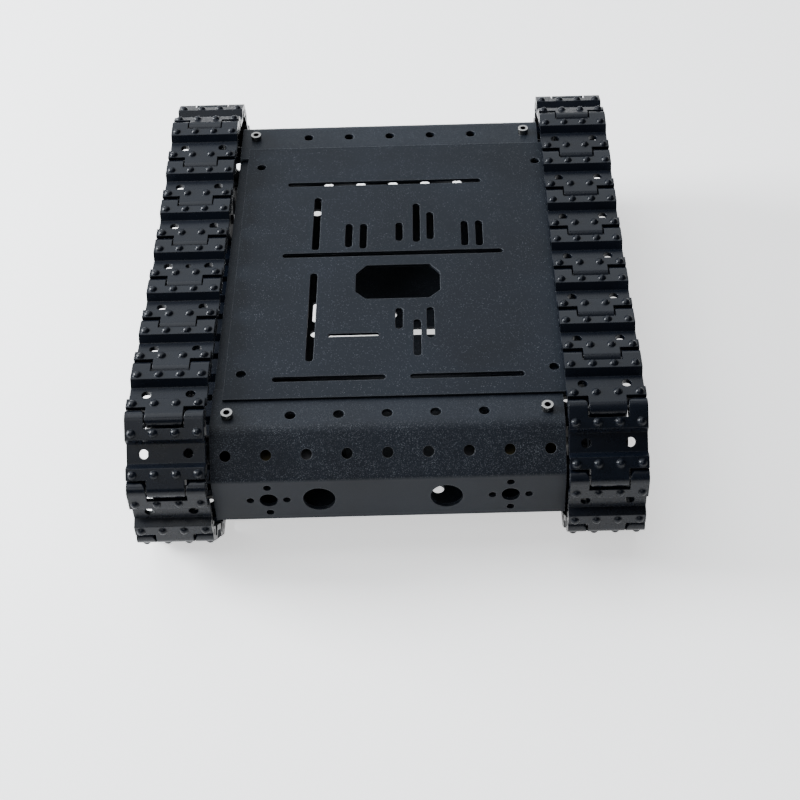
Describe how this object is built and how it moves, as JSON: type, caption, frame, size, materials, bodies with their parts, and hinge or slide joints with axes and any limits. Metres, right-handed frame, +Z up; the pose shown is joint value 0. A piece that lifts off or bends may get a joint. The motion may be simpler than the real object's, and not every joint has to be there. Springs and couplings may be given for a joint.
{
  "type": "tracked tank chassis",
  "caption": "Bent sheet-metal robot chassis with a slotted deck, two gearmotors, sprockets, idlers and two hinged plate-link tracks.",
  "frame": {"origin": "on the ground plane, midway across the tracks and midway along them", "axes": "+Z up, +Y towards the rear, +X towards the right of the image (the vehicle's left-hand side for a driver facing forwards); the front face looks along -Y"},
  "size_m": [0.2376, 0.2953, 0.0883],
  "materials": {
    "black_coat": "textured black powder coat",
    "track_coat": "satin blue-black",
    "wheel_coat": "satin black",
    "gearbox_steel": "olive passivated steel",
    "motor_steel": "dark oxide",
    "aluminium": "black anodised",
    "black_steel": "black oxide",
    "nickel_steel": "bright nickel"
  },
  "bodies": {
    "chassis": {"top_deck": "black_coat", "front_cover": "black_coat", "rear_cover": "black_coat", "side_plate_left": "black_coat", "side_plate_right": "black_coat", "bottom_plate": "black_coat", "cover_screws": "nickel_steel", "cover_nuts": "nickel_steel", "floor_screws": "black_steel", "floor_nuts": "black_steel", "gearbox_left": "gearbox_steel", "gearbox_right": "gearbox_steel", "motor_can_left": "motor_steel", "motor_can_right": "motor_steel", "motor_screws": "nickel_steel", "idler_axle_bolts": "black_steel", "idler_spacers": "aluminium", "idler_axle_nuts": "black_steel", "track_links_left": "track_coat", "track_links_right": "track_coat", "track_pins_left": "nickel_steel", "track_pins_right": "nickel_steel"},
    "drive_wheel_left": {"sprocket_plates_left": "wheel_coat", "sprocket_posts_left": "aluminium", "sprocket_screws_left": "black_steel", "drive_hub_left": "aluminium", "drive_shaft_left": "nickel_steel"},
    "idler_wheel_left": {"idler_plates_left": "wheel_coat", "idler_posts_left": "aluminium", "idler_screws_left": "black_steel", "idler_hub_left": "aluminium", "idler_bearings_left": "nickel_steel"},
    "drive_wheel_right": {"sprocket_plates_right": "wheel_coat", "sprocket_posts_right": "aluminium", "sprocket_screws_right": "black_steel", "drive_hub_right": "aluminium", "drive_shaft_right": "nickel_steel"},
    "idler_wheel_right": {"idler_plates_right": "wheel_coat", "idler_posts_right": "aluminium", "idler_screws_right": "black_steel", "idler_hub_right": "aluminium", "idler_bearings_right": "nickel_steel"}
  },
  "joints": [
    {"name": "drive_spin_left", "type": "hinge", "parent": "chassis", "child": "drive_wheel_left", "pos_m": [-0.1008, -0.1046, 0.04372], "axis": [1, 0, 0], "continuous": true},
    {"name": "idler_spin_left", "type": "hinge", "parent": "chassis", "child": "idler_wheel_left", "pos_m": [-0.1008, 0.10394, 0.04439], "axis": [1, 0, 0], "continuous": true},
    {"name": "drive_spin_right", "type": "hinge", "parent": "chassis", "child": "drive_wheel_right", "pos_m": [0.1008, -0.1046, 0.04372], "axis": [1, 0, 0], "continuous": true},
    {"name": "idler_spin_right", "type": "hinge", "parent": "chassis", "child": "idler_wheel_right", "pos_m": [0.1008, 0.10394, 0.04439], "axis": [1, 0, 0], "continuous": true}
  ],
  "couplings": [
    {"joint": "idler_spin_left", "follows": "drive_spin_left", "ratio": 1.0622},
    {"joint": "idler_spin_right", "follows": "drive_spin_right", "ratio": 1.0622}
  ]
}
